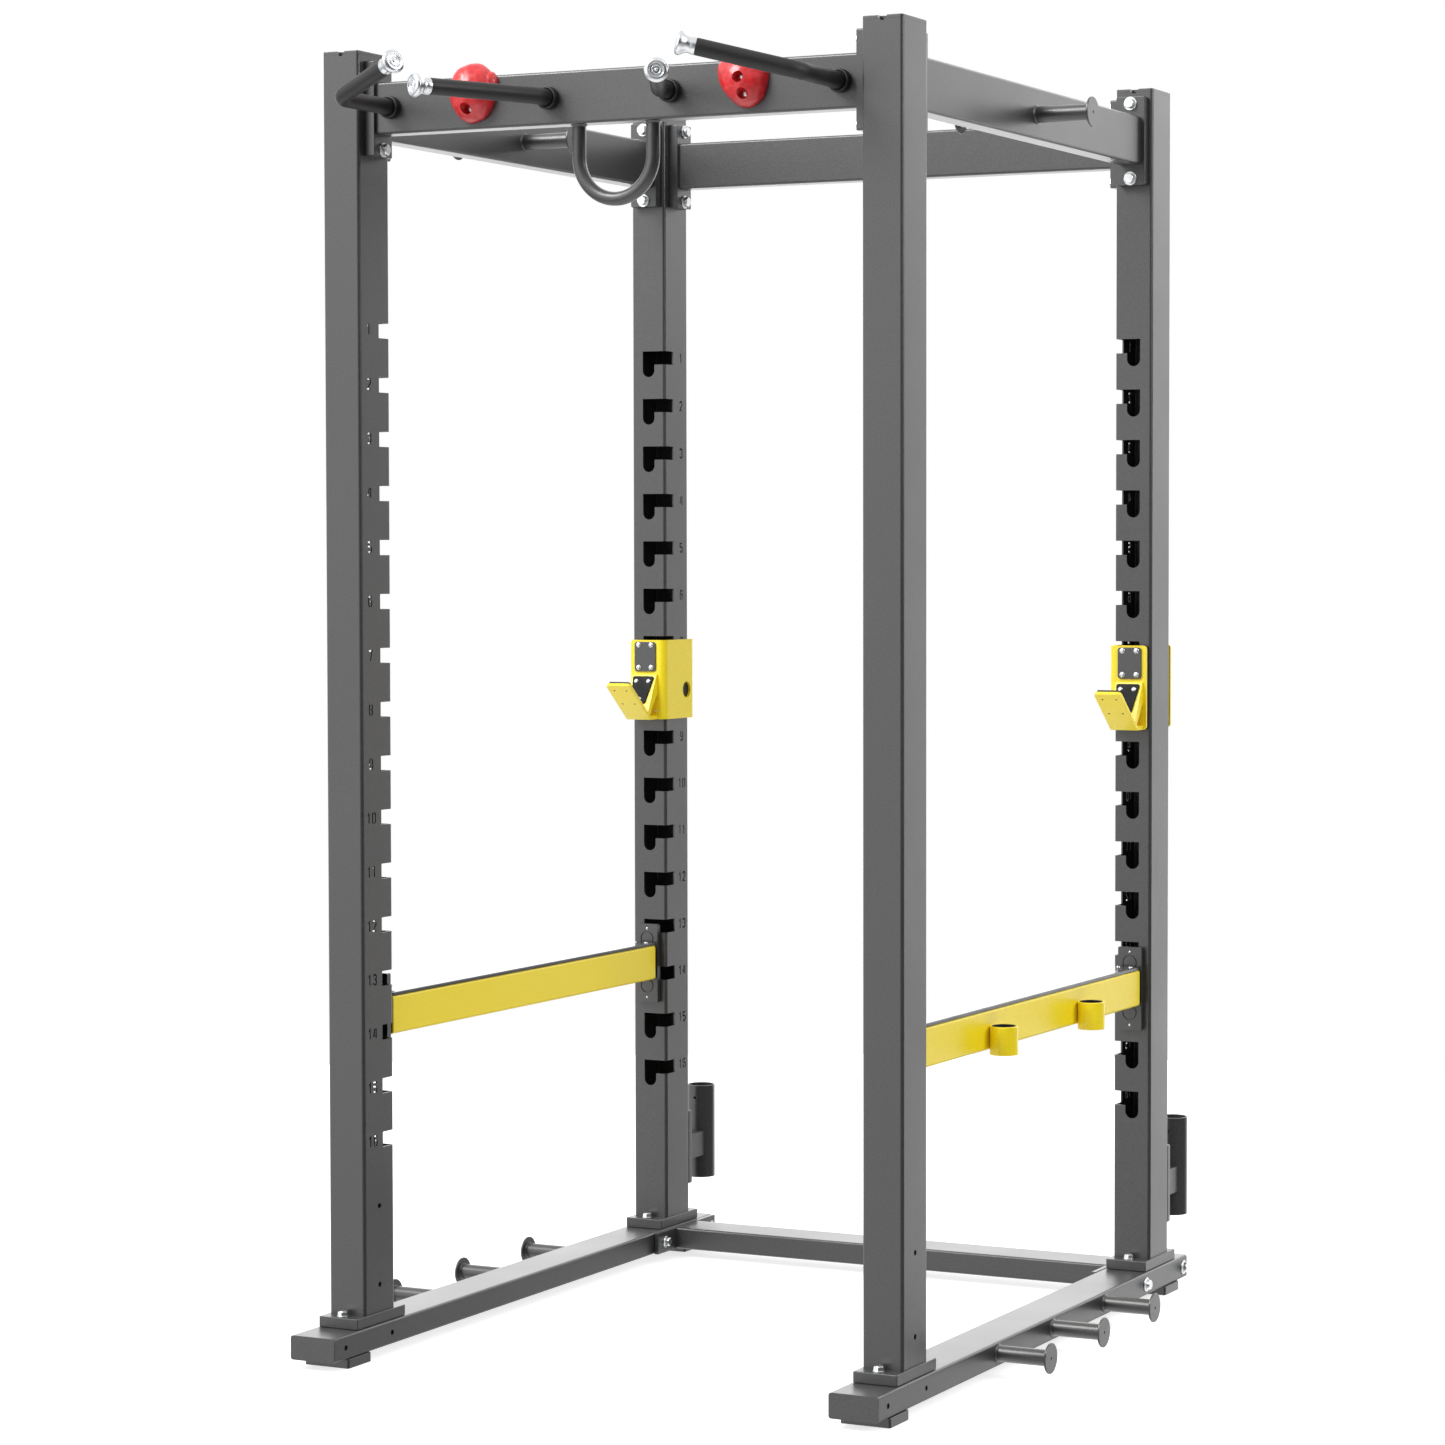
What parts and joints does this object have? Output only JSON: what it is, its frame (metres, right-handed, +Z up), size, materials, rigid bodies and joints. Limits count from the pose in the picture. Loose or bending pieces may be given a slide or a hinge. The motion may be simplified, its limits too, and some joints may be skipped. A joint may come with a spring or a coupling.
{
  "type": "power cage",
  "caption": "Free-standing power cage: slotted steel uprights on base rails, top beams, lift-off bar hooks and safety bars, pull-up handles, storage pegs and bar sleeves.",
  "frame": {"origin": "middle of the footprint, on the floor", "axes": "+X to the right seen from the front, +Y from the front to the rear, +Z up"},
  "size_m": [1.4036, 1.66, 2.411],
  "materials": {
    "frame_powder_coat": "fine-textured dark grey powder coat, satin",
    "yellow_powder_coat": "smooth satin safety-yellow powder coat",
    "grip_rubber": "matt black rubber sleeve",
    "moulded_plastic": "satin black moulded nylon",
    "chrome_plate": "bright chrome plate",
    "red_resin": "satin cast resin, lightly grained"
  },
  "bodies": {
    "root": {"front_left_upright": "frame_powder_coat", "front_left_cap": "frame_powder_coat", "front_left_foot": "moulded_plastic", "front_right_upright": "frame_powder_coat", "front_right_cap": "frame_powder_coat", "front_right_foot": "moulded_plastic", "rear_left_upright": "frame_powder_coat", "rear_left_cap": "frame_powder_coat", "rear_left_foot": "moulded_plastic", "rear_right_upright": "frame_powder_coat", "rear_right_cap": "frame_powder_coat", "rear_right_foot": "moulded_plastic", "front_top_beam": "frame_powder_coat", "rear_top_beam": "frame_powder_coat", "left_top_beam": "frame_powder_coat", "right_top_beam": "frame_powder_coat", "rear_cross_member": "frame_powder_coat", "left_base_rail": "frame_powder_coat", "left_outer_top_peg": "frame_powder_coat", "left_inner_top_peg": "frame_powder_coat", "left_base_peg_1": "frame_powder_coat", "left_base_peg_2": "frame_powder_coat", "left_base_peg_3": "frame_powder_coat", "left_outer_handle": "grip_rubber", "left_outer_handle_end": "chrome_plate", "left_inner_handle": "grip_rubber", "left_inner_handle_end": "chrome_plate", "left_climbing_hold": "red_resin", "left_barbell_sleeve": "frame_powder_coat", "right_base_rail": "frame_powder_coat", "right_outer_top_peg": "frame_powder_coat", "right_inner_top_peg": "frame_powder_coat", "right_base_peg_1": "frame_powder_coat", "right_base_peg_2": "frame_powder_coat", "right_base_peg_3": "frame_powder_coat", "right_outer_handle": "grip_rubber", "right_outer_handle_end": "chrome_plate", "right_inner_handle": "grip_rubber", "right_inner_handle_end": "chrome_plate", "right_climbing_hold": "red_resin", "right_barbell_sleeve": "frame_powder_coat", "u_handle": "frame_powder_coat"},
    "left_hook_body": {"left_hook": "yellow_powder_coat", "left_hook_liner": "moulded_plastic", "left_hook_wear_plate": "frame_powder_coat", "left_hook_ramp_pad": "moulded_plastic", "left_hook_lip_pad": "moulded_plastic"},
    "left_safety_body": {"left_safety_bar": "yellow_powder_coat", "left_safety_front_bracket": "frame_powder_coat", "left_safety_rear_bracket": "frame_powder_coat", "left_safety_strip": "moulded_plastic"},
    "right_hook_body": {"right_hook": "yellow_powder_coat", "right_hook_liner": "moulded_plastic", "right_hook_wear_plate": "frame_powder_coat", "right_hook_ramp_pad": "moulded_plastic", "right_hook_lip_pad": "moulded_plastic"},
    "right_safety_body": {"right_safety_bar": "yellow_powder_coat", "right_safety_front_bracket": "frame_powder_coat", "right_safety_rear_bracket": "frame_powder_coat", "right_safety_strip": "moulded_plastic"}
  },
  "joints": [
    {"name": "left_hook_lift", "type": "slide", "parent": "root", "child": "left_hook_body", "axis": [0, 0, 1], "range_m": [0, 0.026]},
    {"name": "right_hook_lift", "type": "slide", "parent": "root", "child": "right_hook_body", "axis": [0, 0, 1], "range_m": [0, 0.026]},
    {"name": "left_safety_lift", "type": "slide", "parent": "root", "child": "left_safety_body", "axis": [0, 0, 1], "range_m": [0, 0.026]},
    {"name": "right_safety_lift", "type": "slide", "parent": "root", "child": "right_safety_body", "axis": [0, 0, 1], "range_m": [0, 0.026]}
  ]
}
